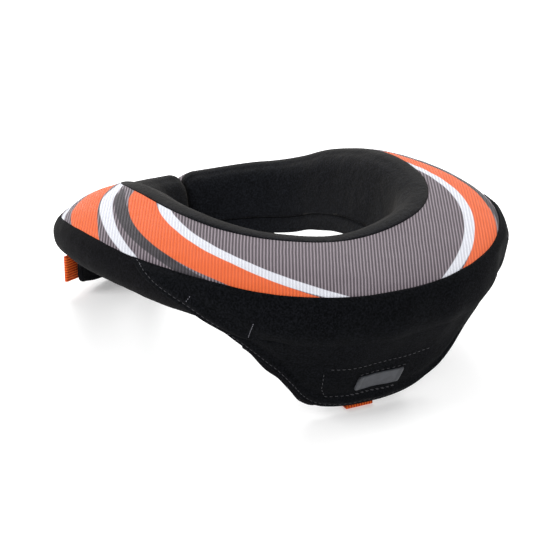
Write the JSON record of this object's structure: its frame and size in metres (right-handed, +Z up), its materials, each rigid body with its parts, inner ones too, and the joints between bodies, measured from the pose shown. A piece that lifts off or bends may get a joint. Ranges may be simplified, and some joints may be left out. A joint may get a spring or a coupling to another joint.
{
  "type": "motocross neck brace",
  "caption": "padded collar that goes round a rider's neck, open at the front, with a closure flap and a cloth apron ending in a tail at the back",
  "frame": {"origin": "centre of the bounding box on the surface that the brace stands on", "axes": "+Z up, +Y towards the closure at the front, -Y towards the tail at the back, +X to the wearer's left"},
  "size_m": [0.2422, 0.2834, 0.0971],
  "materials": {
    "printed_panel": "ribbed stretch fabric over thin foam, grey with printed orange and white bands",
    "black_fabric": "matt brushed stretch fabric",
    "lining_fabric": "soft matt lining over foam",
    "orange_webbing": "ribbed woven tape",
    "label_rubber": "matt moulded rubber, blank"
  },
  "bodies": {
    "root": {"body_roll": "black_fabric", "top_panel": "printed_panel", "neck_roll": "lining_fabric", "neck_band": "lining_fabric", "back_apron": "black_fabric", "tail_pad": "black_fabric", "closure_flap": "black_fabric", "pull_tab": "orange_webbing", "tail_tab": "orange_webbing", "label_patch": "label_rubber"}
  },
  "joints": []
}
